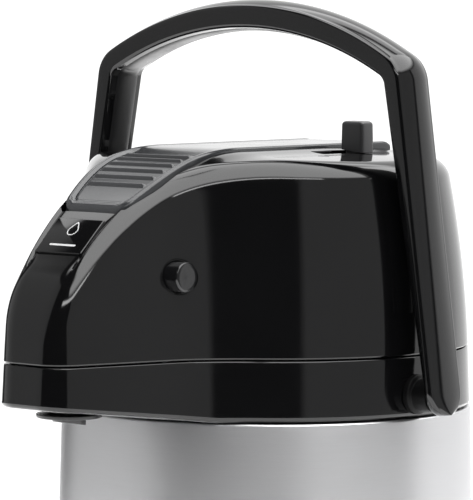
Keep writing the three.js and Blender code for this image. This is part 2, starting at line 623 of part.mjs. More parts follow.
function buildLever() {
  const stations = 20;
  const top = [];
  for (let i = 0; i <= stations; i += 1) {
    const y = THREE.MathUtils.lerp(-LEVER_FRONT, -LEVER_REAR, i / stations);
    top.push([y, leverTop(y)]);
  }
  const under = (depth, until) => top.filter(([y]) => y < until).map(([y, z]) => [y + 1, z - depth]);
  const heel = [[-LEVER_REAR, LEVER_PIVOT.z - 5], [LEVER_PIVOT.y - 7, LEVER_PIVOT.z - 5]];
  const outline = [...top, ...heel, ...under(LEVER_SKIRT, LEVER_PIVOT.y - 10).reverse()];
  const block = plateX(outline, -LEVER_HALF, LEVER_HALF);
  const shaped = common(block, plateZ(leverPlan(0, 0.01), COLLAR_Z, COLLAR_Z + 130));
  const ceiling = top.map(([y, z]) => [y, z - LEVER_SKIN]);
  const hollow = plateX([
    ...ceiling.slice(1, -1), [LEVER_PIVOT.y + 3, COLLAR_Z + 40], [-LEVER_FRONT + 5, COLLAR_Z + 40],
  ], -LEVER_FRONT_HALF + 2.6, LEVER_FRONT_HALF - 2.6);
  const bore = rodX(PIN_R + PIN_PLAY, -40, 40, LEVER_PIVOT.y, LEVER_PIVOT.z);
  const seatHalf = GRIP_HALF + GAP;
  const gripSeat = plateX(gripOutline(-1.5, 4, GAP), -seatHalf, seatHalf);
  part('push_lever', cut(shaped, hollow, bore, gripSeat), LEVER_GREY);
  const ribs = [];
  for (let rib = 0; rib < 6; rib += 1) {
    const y = -90 + 5 * rib;
    const slope = Math.atan2(leverTop(y + 2) - leverTop(y - 2), 4);
    const bar = box(-GRIP_HALF + 0.2, GRIP_HALF - 0.2, -0.9, 0.9, -1, 0.5);
    ribs.push(bar.rotateX(slope).translate(0, y, leverTop(y)));
  }
  const insert = plateX(gripOutline(-1.2, -0.2, 0), -GRIP_HALF, GRIP_HALF);
  part('lever_grip', join(insert, ...ribs), LEVER_GREY);
}

// The side outline of the ribbed insert, between two depths below the lever's top.
function gripOutline(low, high, margin) {
  const ys = Array.from({ length: 8 }, (_, k) => THREE.MathUtils.lerp(-93 - margin, -61 + margin, k / 7));
  const line = (depth) => ys.map((y) => [y, leverTop(y) + depth]);
  return [...line(high), ...line(low).reverse()];
}

// ---------------------------------------------------------------- handle

// Outer edge of the handle in the XZ plane from the right pivot over the top to the left one:
// straight arms, round shoulders and a wide arch, with the inward normal at each point.
function handlePath() {
  const along = new THREE.Vector2(ARM_HIGH.x - ARM_LOW.x, ARM_HIGH.z - ARM_LOW.z).normalize();
  const inward = new THREE.Vector2(-along.y, along.x);
  const low = new THREE.Vector2(ARM_LOW.x, ARM_LOW.z);
  const centreLine = low.clone().addScaledVector(inward, SHOULDER_R);
  const fromArch = centreLine.clone().sub(new THREE.Vector2(0, ARCH_Z));
  const b = fromArch.dot(along);
  const c = fromArch.lengthSq() - (ARCH_R - SHOULDER_R) ** 2;
  const shoulder = centreLine.addScaledVector(along, -b + Math.sqrt(b * b - c));
  const armEnd = shoulder.clone().addScaledVector(inward, -SHOULDER_R);
  const bottom = low.clone().addScaledVector(along, (PIVOT.z - 8 - low.y) / along.y);
  const half = [];
  const push = (x, z, nx, nz) => half.push({ x, z, nx, nz });
  const armSteps = 9;
  for (let i = 0; i < armSteps; i += 1) {
    const t = (i / armSteps) ** 1.6;
    const point = bottom.clone().lerp(armEnd, t);
    push(point.x, point.y, inward.x, inward.y);
  }
  const startAngle = Math.atan2(-inward.y, -inward.x);
  const endAngle = Math.atan2(shoulder.y - ARCH_Z, shoulder.x);
  for (let i = 0; i <= 5; i += 1) {
    const angle = THREE.MathUtils.lerp(startAngle, endAngle, i / 5);
    const [nx, nz] = [Math.cos(angle), Math.sin(angle)];
    push(shoulder.x + SHOULDER_R * nx, shoulder.y + SHOULDER_R * nz, -nx, -nz);
  }
  for (let i = 1; i <= 5; i += 1) {
    const angle = THREE.MathUtils.lerp(endAngle, Math.PI / 2, i / 5);
    const [nx, nz] = [Math.cos(angle), Math.sin(angle)];
    push(ARCH_R * nx, ARCH_Z + ARCH_R * nz, -nx, -nz);
  }
  const flip = ({ x, z, nx, nz }) => ({ x: -x, z, nx: -nx, nz });
  const mirrored = half.slice(0, -1).reverse().map(flip);
  return [...half, ...mirrored];
}

// A loop of one point, in the middle of a loop.
function centroid(loop) {
  return [[0, 1, 2].map((axis) => loop.reduce((sum, point) => sum + point[axis], 0) / loop.length)];
}

// Sweeps a section along the handle. Section points are [across, depth share, swell share]:
// across is -1 to 1 from front to back, depth share 0 is the outer edge and 1 the inner one.
function sweepHandle(section, fromHeight) {
  const stations = handlePath().filter(({ z }) => z >= fromHeight);
  const loops = stations.map(({ x, z, nx, nz }) => {
    const up = THREE.MathUtils.clamp((z - PIVOT.z) / (ARCH_Z + ARCH_R - PIVOT.z), 0, 1);
    const thick = THREE.MathUtils.lerp(ARM_THICK, ARCH_THICK, up);
    const swell = THREE.MathUtils.lerp(1, 2, up);
    const below = Math.min(z - PIVOT.z, 0);
    const half = Math.sqrt(Math.max(HANDLE_HALF ** 2 - below ** 2, 4));
    return section.map(([across, depth, bulge]) => {
      const inset = depth * thick + bulge * swell;
      return [x + nx * inset, PIVOT.y + across * half, z + nz * inset];
    });
  });
  return loft([centroid(loops[0]), ...loops, centroid(loops[loops.length - 1])]);
}

function buildHandle() {
  const section = [
    [-1, 0, 0], [-0.5, 0, -0.75], [0, 0, -1], [0.5, 0, -0.75], [1, 0, 0],
    [1, 1, 0], [0.62, 1, 0.4], [-0.62, 1, 0.4], [-1, 1, 0],
  ];
  const bores = rodX(3.5, 80, 92.6, PIVOT.y, PIVOT.z);
  const boresLeft = rodX(3.5, -92.6, -80, PIVOT.y, PIVOT.z);
  part('handle', cut(sweepHandle(section, 0), bores, boresLeft), GLOSS_BLACK);
  const cover = [
    [-0.55, 1, 0.8], [0.55, 1, 0.8], [0.4, 1, 1.25], [-0.4, 1, 1.25],
  ];
  part('handle_inner_cover', sweepHandle(cover, PIVOT.z + 32), SATIN_BLACK);
}

buildTurntable();
buildBase();
buildLiner();
buildCollar();
buildPivots();
buildWaterWay();
buildLidCover();
buildLidInside();
buildPump();
buildBadge();
buildLock();
buildButtons();
buildLever();
buildHandle();

export default airpot;
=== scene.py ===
"""Looks of a thermal air pot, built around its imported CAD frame."""
import math

import bmesh
import bpy
import numpy as np
from mathutils import Matrix, Vector


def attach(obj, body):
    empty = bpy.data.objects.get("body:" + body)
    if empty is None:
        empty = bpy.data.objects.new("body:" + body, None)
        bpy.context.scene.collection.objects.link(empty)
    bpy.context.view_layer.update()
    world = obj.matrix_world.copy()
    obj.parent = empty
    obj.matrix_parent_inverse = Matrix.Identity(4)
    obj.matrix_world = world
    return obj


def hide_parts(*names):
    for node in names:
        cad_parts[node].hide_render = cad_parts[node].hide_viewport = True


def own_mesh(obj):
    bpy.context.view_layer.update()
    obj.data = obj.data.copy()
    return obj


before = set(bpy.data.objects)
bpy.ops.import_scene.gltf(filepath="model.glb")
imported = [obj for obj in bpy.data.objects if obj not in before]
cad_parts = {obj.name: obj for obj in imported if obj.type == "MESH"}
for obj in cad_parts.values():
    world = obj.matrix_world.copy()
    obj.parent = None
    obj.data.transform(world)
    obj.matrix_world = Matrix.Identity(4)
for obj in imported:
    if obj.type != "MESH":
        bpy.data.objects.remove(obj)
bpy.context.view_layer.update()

MM = 0.001

# ---------------------------------------------------------------- sizes, in millimetres
# The same driving sizes as the CAD model, so that every skin lies on its CAD solid.

COLLAR_Z = 186.0
SEAM_Z = COLLAR_Z + 23.5
LID_FOOT_Z = SEAM_Z + 0.3
COLLAR_TOP_Z = SEAM_Z - 0.2
DECK_Z = COLLAR_Z + 10
TRAY_Z = DECK_Z + 3
SHELL_Z = 26.0
SHELL_FOOT_R = 84.1

NECK_R = 79.15
COLLAR_R = 80.0
BEAK_FRONT = 136.5
BEAK_HALF = 20.7
BEAK_HALF_Y = 118.7
BEAK_FLARE = 0.287
BEAK_CORNER = 9.0
BEAK_BLEND = 12.0
BEAK_RISE = 0.112
BEAK_RISE_Y = 73.0
PLAN_CENTRE_Y = -30.0

TOP_H = 99.5
RAMP_BACK = 40.0
RAMP_REACH = 128.5
RAMP_DEPTH = 184.0
RAMP_POWER = 2.14
CROWN_DROP = 3.2
CROWN_R = 72.0
LEAN_LINEAR = 0.0421
LEAN_SQUARE = 0.001134
EDGE_R = 7.0
LID_WALL = 2.6

LEVER_FRONT = 101.0
LEVER_REAR = 50.0
LEVER_HALF = 21.5
LEVER_FRONT_HALF = 15.4
LEVER_NECK_Y = -66.0
LEVER_LIFT = 2.4

HINGE_Y, HINGE_Z, HINGE_R = 83.2, 208.0, 3.6
HINGE_BORE_R = 2.0
LID_BARREL_HALF = 13.5
LID_WEB_Y = 76.8
COLLAR_LUG_X = (14, 23)
COLLAR_LUG_Y = 74
PIVOT_Y, PIVOT_Z = -5.5, COLLAR_Z + 9
HANDLE_HALF = 9.5
ARCH_R = 145.0
ARCH_Z = COLLAR_Z + 11
ARM_LOW = (94.2, COLLAR_Z + 12.4)
ARM_HIGH = (79.0, COLLAR_Z + 117.8)
SHOULDER_R = 13.0
ARCH_THICK = 9.0
ARM_THICK = 4.0
ARM_END = 6.9
HANDLE_EDGE = 1.7
HANDLE_FLANK = 1 - HANDLE_EDGE / HANDLE_HALF
INNER_BULGE = 0.4
LINING_HALF, LINING_PROUD = 0.62, 0.4
LINING_FOOT_Z = PIVOT_Z + 32

OUTLET_Y = -113.0
NOZZLE_HOLE_R = 7.4
BUSH_R = 6.7
BUTTON_Y, BUTTON_Z, BUTTON_R, BUTTON_END = -84.0, COLLAR_Z + 55.1, 5.8, 33.0
BUTTON_SEGMENTS = 72
BADGE_Y = -113.5
BADGE_HALF_X, BADGE_HALF_Y = 11.6, 9.0

KNOB_X0, KNOB_X1, KNOB_Y0, KNOB_Y1 = 27.2, 38.2, 11.8, 19.3
KNOB_TOP_Z = COLLAR_Z + 111
KNOB_SKIRT_Z = COLLAR_Z + 102

# ---------------------------------------------------------------- materials

# Most of a noise texture's values lie between these two.
NOISE_LOW, NOISE_HIGH = 0.3, 0.7
# Sockets of a colour mix, which share their names with those of other data types.
MIX_FACTOR, MIX_A, MIX_B, MIX_RESULT = 0, 6, 7, 2


def principled(name, color, roughness, metallic=0.0, specular=0.5):
    material = bpy.data.materials.new(name)
    material.use_nodes = True
    shader = material.node_tree.nodes["Principled BSDF"]
    shader.inputs["Base Color"].default_value = (*color, 1)
    shader.inputs["Roughness"].default_value = roughness
    shader.inputs["Metallic"].default_value = metallic
    shader.inputs["Specular IOR Level"].default_value = specular
    return material, material.node_tree, shader


def object_noise(tree, scale, detail=3.0, stretch=(1, 1, 1)):
    """A noise texture in object space; scale is in features per metre."""
    where = tree.nodes.new("ShaderNodeTexCoord")
    mapping = tree.nodes.new("ShaderNodeMapping")
    mapping.inputs["Scale"].default_value = stretch
    noise = tree.nodes.new("ShaderNodeTexNoise")
    noise.inputs["Scale"].default_value = scale
    noise.inputs["Detail"].default_value = detail
    tree.links.new(where.outputs["Object"], mapping.inputs["Vector"])
    tree.links.new(mapping.outputs["Vector"], noise.inputs["Vector"])
    return noise.outputs["Fac"]


def spread(tree, value, low, high):
    """Maps a noise onto low to high."""
    ramp = tree.nodes.new("ShaderNodeMapRange")
    ramp.inputs["From Min"].default_value = NOISE_LOW
    ramp.inputs["From Max"].default_value = NOISE_HIGH
    ramp.inputs["To Min"].default_value = low
    ramp.inputs["To Max"].default_value = high
    tree.links.new(value, ramp.inputs["Value"])
    return ramp.outputs["Result"]


def tint(tree, shader, value, dark, light):
    """Base colour that drifts between two shades with a noise."""
    mix = tree.nodes.new("ShaderNodeMix")
    mix.data_type = "RGBA"
    mix.inputs[MIX_A].default_value = (*dark, 1)
    mix.inputs[MIX_B].default_value = (*light, 1)
    tree.links.new(spread(tree, value, 0.0, 1.0), mix.inputs[MIX_FACTOR])
    tree.links.new(mix.outputs[MIX_RESULT], shader.inputs["Base Color"])


def bump(tree, shader, value, strength, distance):
    node = tree.nodes.new("ShaderNodeBump")
    node.inputs["Strength"].default_value = strength
    node.inputs["Distance"].default_value = distance
    tree.links.new(value, node.inputs["Height"])
    tree.links.new(node.outputs["Normal"], shader.inputs["Normal"])


def moulded_plastic(name, color, roughness, ripple=0.03, grain=900.0, vary=0.25, specular=0.5):
    """Injection-moulded plastic: faint colour drift, uneven gloss and a fine skin."""
    material, tree, shader = principled(name, color, roughness, specular=specular)
    drift = object_noise(tree, 14.0)
    tint(tree, shader, drift, [c * (1 - vary) for c in color], [c * (1 + vary) for c in color])
    gloss = object_noise(tree, 60.0)
    low, high = roughness * 0.85, roughness * 1.2
    tree.links.new(spread(tree, gloss, low, high), shader.inputs["Roughness"])
    bump(tree, shader, object_noise(tree, grain), ripple, 0.0002)
    return material


def brushed_metal(name, color, roughness, stretch, vary=0.06, grain_scale=700.0):
    """Steel with a brushed grain that runs round the piece."""
    material, tree, shader = principled(name, color, roughness, metallic=1.0)
    grain = object_noise(tree, grain_scale, 4.0, stretch)
    tint(tree, shader, grain, [c * (1 - vary) for c in color], [min(c * (1 + vary), 1) for c in color])
    tree.links.new(spread(tree, grain, roughness * 0.94, roughness * 1.06), shader.inputs["Roughness"])
    bump(tree, shader, grain, 0.02, 0.0001)
    return material


GLOSS_BLACK = moulded_plastic("gloss_black_plastic", (0.0022, 0.0022, 0.0024), 0.075, ripple=0.012)
PIVOT_BLACK = moulded_plastic("pivot_black_plastic", (0.0012, 0.0012, 0.0013), 0.45, ripple=0.1,
                              specular=0.12)
BUTTON_BLACK = moulded_plastic("button_black_plastic", (0.004, 0.004, 0.0044), 0.13, ripple=0.03)
SATIN_BLACK = moulded_plastic("satin_black_plastic", (0.006, 0.006, 0.0063), 0.32, ripple=0.12)
SATIN_GREY = moulded_plastic("satin_grey_plastic", (0.052, 0.052, 0.054), 0.34, ripple=0.1)
LEVER_GREY = moulded_plastic("lever_grey_plastic", (0.028, 0.029, 0.031), 0.13, ripple=0.015)
WHITE_PLASTIC = moulded_plastic("natural_plastic", (0.72, 0.72, 0.69), 0.42, ripple=0.08, vary=0.04)
PALE_SEAL = moulded_plastic("pale_silicone", (0.66, 0.65, 0.6), 0.6, ripple=0.15, vary=0.06)
BLACK_RUBBER = moulded_plastic("black_rubber", (0.012, 0.012, 0.012), 0.78, ripple=0.35, grain=1500)
SHELL_STEEL = brushed_metal("satin_steel_shell", (0.58, 0.58, 0.59), 0.36, (0.03, 0.03, 1.0), 0.015, 2600.0)
SMALL_STEEL = brushed_metal("turned_steel", (0.62, 0.62, 0.63), 0.28, (0.1, 1, 1))
BRIGHT_STEEL = brushed_metal("bright_steel_liner", (0.74, 0.74, 0.75), 0.14, (0.03, 0.03, 1.0))
MARK_PAINT = moulded_plastic("printed_mark", (0.5, 0.5, 0.5), 0.4, ripple=0.05, vary=0.05)

# ---------------------------------------------------------------- mesh helpers


def mesh_object(name, points, faces, merge):
    """An object from points in millimetres, its faces turned outward."""
    mesh = bpy.data.meshes.new(name)
    mesh.from_pydata([tuple(MM * c for c in p) for p in points], [], faces)
    shape = bmesh.new()
    shape.from_mesh(mesh)
    if merge:
        bmesh.ops.remove_doubles(shape, verts=shape.verts, dist=1e-7)
    bmesh.ops.recalc_face_normals(shape, faces=shape.faces)
    shape.to_mesh(mesh)
    shape.free()
    made = bpy.data.objects.new(name, mesh)
    bpy.context.scene.collection.objects.link(made)
    return made


def shade(mesh, sharp):
    """Smooth shading, but for edges that bend by more than sharp degrees."""
    mesh.polygons.foreach_set("use_smooth", [True] * len(mesh.polygons))
    mesh.set_sharp_from_angle(angle=math.radians(sharp))


def add_mesh(name, points, faces, material, body, replaces=(), sharp=35.0):
    """A visible piece that rides on a body in place of the CAD nodes in replaces."""
    piece = mesh_object(name, points, faces, merge=True)
    piece.data.materials.append(material)
    shade(piece.data, sharp)
    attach(piece, body)
    if replaces:
        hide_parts(*replaces)
    return piece


def loft_faces(count, rows, wrap=False, caps=False):
    """Quads between rows of points that each hold count points round a loop."""
    faces = []
    for row in range(rows if wrap else rows - 1):
        low = row * count
        high = ((row + 1) % rows) * count
        for i in range(count):
            j = (i + 1) % count
            faces.append((low + i, low + j, high + j, high + i))
    if caps:
        faces.append(tuple(range(count)))
        faces.append(tuple((rows - 1) * count + i for i in range(count)))
    return faces


def loft(name, loops, material, body, replaces=(), wrap=False, caps=False, sharp=35.0):
    points = [tuple(p) for loop in loops for p in loop]
    faces = loft_faces(len(loops[0]), len(loops), wrap, caps)
    return add_mesh(name, points, faces, material, body, replaces, sharp)


def rounded(profile, steps=5):
    """Rounds the corners of a profile of (a, b, radius) points that closes on itself."""
    count = len(profile)
    result = []
    for k, (a, b, radius) in enumerate(profile):
        here = Vector((a, b))
        before = Vector(profile[k - 1][:2]) - here
        after = Vector(profile[(k + 1) % count][:2]) - here
        if radius <= 0:
            result.append((a, b))
            continue
        half = before.angle(after) / 2
        reach = min(radius / math.tan(half), 0.49 * before.length, 0.49 * after.length)
        start = here + before.normalized() * reach
        end = here + after.normalized() * reach
        for step in range(steps + 1):
            t = step / steps
            result.append(tuple(start * (1 - t) ** 2 + here * 2 * t * (1 - t) + end * t * t))
    return result


def angles(count):
    """Equal steps round a full circle."""
    return [2 * math.pi * i / count for i in range(count)]


def turned_loops(profile, segments=128, place=None):
    """Rows for a lathe about Z; place, if given, moves each point."""
    loops = []
    for r, z in profile:
        loop = [(r * math.cos(angle), r * math.sin(angle), z) for angle in angles(segments)]
        loops.append([place(point) for point in loop] if place else loop)
    return loops


def turned(name, profile, material, body, replaces=(), segments=128, place=None, sharp=50.0):
    loops = turned_loops(rounded(profile), segments, place)
    return loft(name, loops, material, body, replaces, wrap=True, sharp=sharp)


def cutter(name, loops):
    """A closed tool through loops of points, for cut_away."""
    points = [tuple(p) for loop in loops for p in loop]
    return mesh_object(name, points, loft_faces(len(loops[0]), len(loops), caps=True), merge=False)


def cut_away(piece, tools, sharp=35.0):
    """Cuts tools out of a piece for good, and removes the tools."""
    for tool in tools:
        modifier = piece.modifiers.new("cut", "BOOLEAN")
        modifier.operation = "DIFFERENCE"
        modifier.solver = "EXACT"
        modifier.object = tool
    bpy.context.view_layer.update()
    solved = piece.evaluated_get(bpy.context.evaluated_depsgraph_get())
    mesh = bpy.data.meshes.new_from_object(solved)
    piece.modifiers.clear()
    piece.data = mesh
    shade(mesh, sharp)
    for tool in tools:
        bpy.data.objects.remove(tool)


def rectangle(x0, x1, y0, y1):
    return [(x0, y0), (x1, y0), (x1, y1), (x0, y1)]


def prism(outline, z0, z1):
    """End loops of a prism on a plan outline."""
    return [[(x, y, z) for x, y in outline] for z in (z0, z1)]


def along_x(side, y, z):
    """Places a lathe made about Z so that it lies along X, on the given side."""
    return lambda p: (side * p[2], y + p[1], z + p[0])


def round_corners(outline, radius, steps=6):
    return rounded([(x, y, radius) for x, y in outline], steps)


# ---------------------------------------------------------------- outline and dome


def round_intersection(a, b, r):
    """Distance to what two shapes share, its inner edge rounded to radius r."""
    return np.minimum(-r, np.maximum(a, b)) + np.hypot(np.maximum(a + r, 0), np.maximum(b + r, 0))


def round_union(a, b, r):
    """Distance to two shapes together, the corner between them filled to radius r."""
    return np.maximum(r, np.minimum(a, b)) - np.hypot(np.maximum(r - a, 0), np.maximum(r - b, 0))


def plan_distance(x, y, _z=None):
    """Distance to the plan outline: a circle with a beak ahead; the same at every height."""
    circle = np.hypot(x, y) - NECK_R
    half_width = BEAK_HALF + BEAK_FLARE * (y + BEAK_HALF_Y)
    side = (np.abs(x) - half_width) * math.cos(math.atan(BEAK_FLARE))
    beak = np.maximum(round_intersection(side, -BEAK_FRONT - y, BEAK_CORNER), y)
    return round_union(circle, beak, BEAK_BLEND)


def lid_distance(x, y, z):
    """Distance to the lid: leaning walls under a crowned top that slopes down in front."""
    h = z - COLLAR_Z
    rise = np.maximum(z - SEAM_Z, 0)
    wall = plan_distance(x, y) + LEAN_LINEAR * rise + LEAN_SQUARE * rise * rise
    crown = CROWN_DROP * ((x / CROWN_R) ** 2 + (np.maximum(y, 0) / CROWN_R) ** 2)
    forward = np.maximum(-y - RAMP_BACK, 0)
    upward = np.maximum(h + crown - TOP_H + RAMP_DEPTH, 0)
    reach = ((forward / RAMP_REACH) ** RAMP_POWER + (upward / RAMP_DEPTH) ** RAMP_POWER) ** (1 / RAMP_POWER)
    top = np.hypot(forward, upward) * (1 - 1 / reach)
    return round_intersection(wall, top, EDGE_R)


def smooth(low, high, value):
    """0 at low, 1 at high, with an eased step between."""
    t = np.clip((value - low) / (high - low), 0, 1)
    return t * t * (3 - 2 * t)


SHOULDER_RISE = 1.3
SHOULDER_HALF, SHOULDER_FADE = 22.0, 8.0
SHOULDER_FROM_Z = COLLAR_Z + 80
SHOULDER_FRONT, SHOULDER_REAR = (-78, -50), (62, 40)

PANEL_DEPTH = 1.1
PANEL_HALF, PANEL_TAPER, PANEL_REAR_Y = 15.2, 0.12, -101
PANEL_FROM_Z = COLLAR_Z + 45
PANEL_FRONT_FADE, PANEL_REAR_FADE = (-127.5, -119), (-88, -96)
RIDGE_HEIGHT, RIDGE_GAP, RIDGE_HALF = 0.55, 0.5, 0.75


def lever_shoulder(x, y):
    """The top swells a little towards the lever's opening."""
    across = np.exp(-((np.maximum(np.abs(x) - SHOULDER_HALF, 0) / SHOULDER_FADE) ** 2))
    return SHOULDER_RISE * across * smooth(*SHOULDER_FRONT, y) * smooth(*SHOULDER_REAR, y)


def lid_skin_distance(x, y, z):
    """The lid with its sunk badge panel between two low ridges on the front slope."""
    edge = PANEL_HALF - PANEL_TAPER * np.clip(PANEL_REAR_Y - y, -40, 40)
    along = smooth(*PANEL_FRONT_FADE, y) * smooth(*PANEL_REAR_FADE, y)
    panel = PANEL_DEPTH * smooth(edge, edge - 1.0, np.abs(x)) * along
    ridge = RIDGE_HEIGHT * np.exp(-(((np.abs(x) - edge - RIDGE_GAP) / RIDGE_HALF) ** 2)) * along
    sunk = (panel - ridge) * (z > PANEL_FROM_Z)
    swell = lever_shoulder(x, y) * (z > SHOULDER_FROM_Z)
    return lid_distance(x, y, z) + sunk - swell


def ramp_height(ahead):
    """Height of the front slope in the middle plane, a distance ahead of the axis."""
    forward = np.maximum(ahead - RAMP_BACK, 0) / RAMP_REACH
    return COLLAR_Z + TOP_H - RAMP_DEPTH * (1 - (1 - forward ** RAMP_POWER) ** (1 / RAMP_POWER))


# Longer than any ray from inside the lid to its skin.
RAY_LENGTH = 160.0


def reach_along(distance, directions, start, level, steps=34):
    """Where rays from start meet the level of a distance function, by halving."""
    near = np.zeros(len(directions))
    far = np.full(len(directions), RAY_LENGTH)
    for _ in range(steps):
        middle = (near + far) / 2
        points = start + directions * middle[:, None]
        inside = distance(points[:, 0], points[:, 1], points[:, 2]) < level
        near = np.where(inside, middle, near)
        far = np.where(inside, far, middle)
    return start + directions * near[:, None]


HALF_STEPS = 150
HALF_TURNS = np.arange(-HALF_STEPS, HALF_STEPS) / HALF_STEPS
# Directions round the plan, closer together towards the beak.
AROUND = math.pi * (0.3 * HALF_TURNS + 0.7 * HALF_TURNS ** 3)


def plan_loop(inset):
    """Points of the plan outline, moved inward by inset, at height 0."""
    directions = np.stack([np.sin(AROUND), -np.cos(AROUND), np.zeros_like(AROUND)], 1)
    return reach_along(plan_distance, directions, np.array([0, PLAN_CENTRE_Y, 0.0]), -inset)


def at_height(loop, z):
    lifted = loop.copy()
    lifted[:, 2] = z
    return lifted


def circle_loop(radius, z):
    """A circle about the axis whose points match the outline's angles."""
    plan = plan_loop(0)
    angle = np.arctan2(plan[:, 1], plan[:, 0])
    return np.stack([radius * np.cos(angle), radius * np.sin(angle), np.full_like(angle, z)], 1)


def dome_rows(distance, level, rows, samples, bend_weight):
    """Loops from the lid's foot to its crown, closer together where the profile bends."""
    elevation = np.linspace(0, math.pi / 2, samples)
    start = np.array([0, PLAN_CENTRE_Y, LID_FOOT_Z])
    flat = np.cos(elevation)[None, :] * np.ones((len(AROUND), 1))
    directions = np.stack([
        np.sin(AROUND)[:, None] * flat,
        -np.cos(AROUND)[:, None] * flat,
        np.sin(elevation)[None, :] * np.ones((len(AROUND), 1)),
    ], 2)
    points = reach_along(distance, directions.reshape(-1, 3), start, level)
    points = points.reshape(len(AROUND), samples, 3)
    grid = np.zeros((rows, len(AROUND), 3))
    for i, line in enumerate(points):
        step = np.diff(line, axis=0)
        length = np.linalg.norm(step, axis=1)
        heading = np.arctan2(step[:, 2], np.hypot(step[:, 0], step[:, 1]))
        bend = np.abs(np.diff(heading, prepend=heading[0]))
        measure = np.concatenate([[0], np.cumsum(length + bend_weight * bend)])
        wanted = np.linspace(0, measure[-1], rows + 1)[:-1]
        for axis in range(3):
            grid[:, i, axis] = np.interp(wanted, measure, line[:, axis])
    crown = points[:, -1, :].mean(axis=0)
    return grid, crown


# ---------------------------------------------------------------- lid


def lever_half(y):
    """Half width of the lever: it widens from the front end to the neck."""
    share = np.clip((y + LEVER_FRONT) / (LEVER_NECK_Y + LEVER_FRONT), 0, 1)
    return float(LEVER_FRONT_HALF + (LEVER_HALF - LEVER_FRONT_HALF) * (1 - (1 - share) ** 2))


def lever_plan(side, end):
    """Plan of the lever, grown by side on its flanks and by end at its ends."""
    right = [(lever_half(y) + side, y, 0) for y in np.linspace(-LEVER_FRONT + 4, LEVER_NECK_Y, 8)]
    right.insert(0, (lever_half(-LEVER_FRONT) + side, -LEVER_FRONT - end, 5.0))
    right.append((LEVER_HALF + side, LEVER_REAR + end, 4.0))
    return rounded(right + [(-x, y, r) for x, y, r in right[::-1]], 8)


def domed_faces(first, count, rows, peak):
    """Faces of stacked loops that close with a fan to one point."""
    last = first + (rows - 1) * count
    faces = [tuple(first + k for k in face) for face in loft_faces(count, rows)]
    return faces + [(last + i, last + (i + 1) % count, peak) for i in range(count)]


def build_lid_skin():
    outer, crown = dome_rows(lid_skin_distance, 0.0, rows=120, samples=420, bend_weight=14.0)
    inner, ceiling = dome_rows(lid_distance, -LID_WALL, rows=24, samples=120, bend_weight=4.0)
    plan = plan_loop(0)
    inward = plan_loop(1.0) - plan
    foot_edge = [(0.55, 0.0), (0.25, 0.12), (0.08, 0.34)]
    edge = [at_height(plan + inward * inset, LID_FOOT_Z + lift) for inset, lift in foot_edge]
    outer[0] = at_height(outer[0], LID_FOOT_Z + 0.7)
    loops = edge + list(outer)
    count = len(AROUND)
    points = [tuple(p) for loop in loops for p in loop] + [tuple(crown)]
    faces = domed_faces(0, count, len(loops), len(points) - 1)
    base = len(points)
    points += [tuple(p) for loop in inner for p in loop] + [tuple(ceiling)]
    faces += domed_faces(base, count, len(inner), len(points) - 1)
    faces += [(i, (i + 1) % count, base + (i + 1) % count, base + i) for i in range(count)]
    lid = add_mesh("lid_skin", points, faces, GLOSS_BLACK, "lid", ["lid_cover"])
    above = COLLAR_Z + 130
    lever_hole = cutter("lever_hole", prism(lever_plan(0.55, 1.2), SEAM_Z + 30, above))
    slot = round_corners(rectangle(28.2, 35.4, -8, 20.6), 1.5)
    lock_slot = cutter("lock_slot", prism(slot, SHOULDER_FROM_Z, above))
    bore = [(BUSH_R + 0.1, -60), (BUSH_R + 0.1, 60)]
    button_hole = cutter("button_hole", turned_loops(bore, 64, along_x(1, BUTTON_Y, BUTTON_Z)))
    cut_away(lid, [lever_hole, lock_slot, button_hole])


def hinge_barrel(name, x0, x1, body):
    profile = [(HINGE_BORE_R, x0, 0), (HINGE_R, x0, 0.6), (HINGE_R, x1, 0.6), (HINGE_BORE_R, x1, 0)]
    turned(name, profile, GLOSS_BLACK, body, segments=48, place=along_x(1, HINGE_Y, HINGE_Z))


def build_lid_hinge():
    hinge_barrel("lid_hinge_barrel", -LID_BARREL_HALF, LID_BARREL_HALF, "lid")
    web = rectangle(-LID_BARREL_HALF, LID_BARREL_HALF, LID_WEB_Y, HINGE_Y)
    loft("lid_hinge_web", prism(web, LID_FOOT_Z + 0.2, HINGE_Z + HINGE_R), GLOSS_BLACK, "lid",
         caps=True)
    near, far = COLLAR_LUG_X
    for name, x0, x1 in [("left", -far, -near), ("right", near, far)]:
        hinge_barrel(f"collar_hinge_barrel_{name}", x0, x1, "flask_body")
        lug = prism(rectangle(x0, x1, COLLAR_LUG_Y, HINGE_Y), HINGE_Z - HINGE_R, HINGE_Z)
        loft(f"collar_hinge_lug_{name}", lug, GLOSS_BLACK, "flask_body", caps=True)


def slope_frame(y):
    """Matrix that puts a flat piece on the front slope, its -Y edge downhill."""
    angle = math.atan2(ramp_height(-y - 4) - ramp_height(-y + 4), 8)
    return Matrix.Translation((0, y, ramp_height(-y))) @ Matrix.Rotation(angle, 4, "X")


def on_slope(matrix, points):
    return [tuple(matrix @ Vector(p)) for p in points]


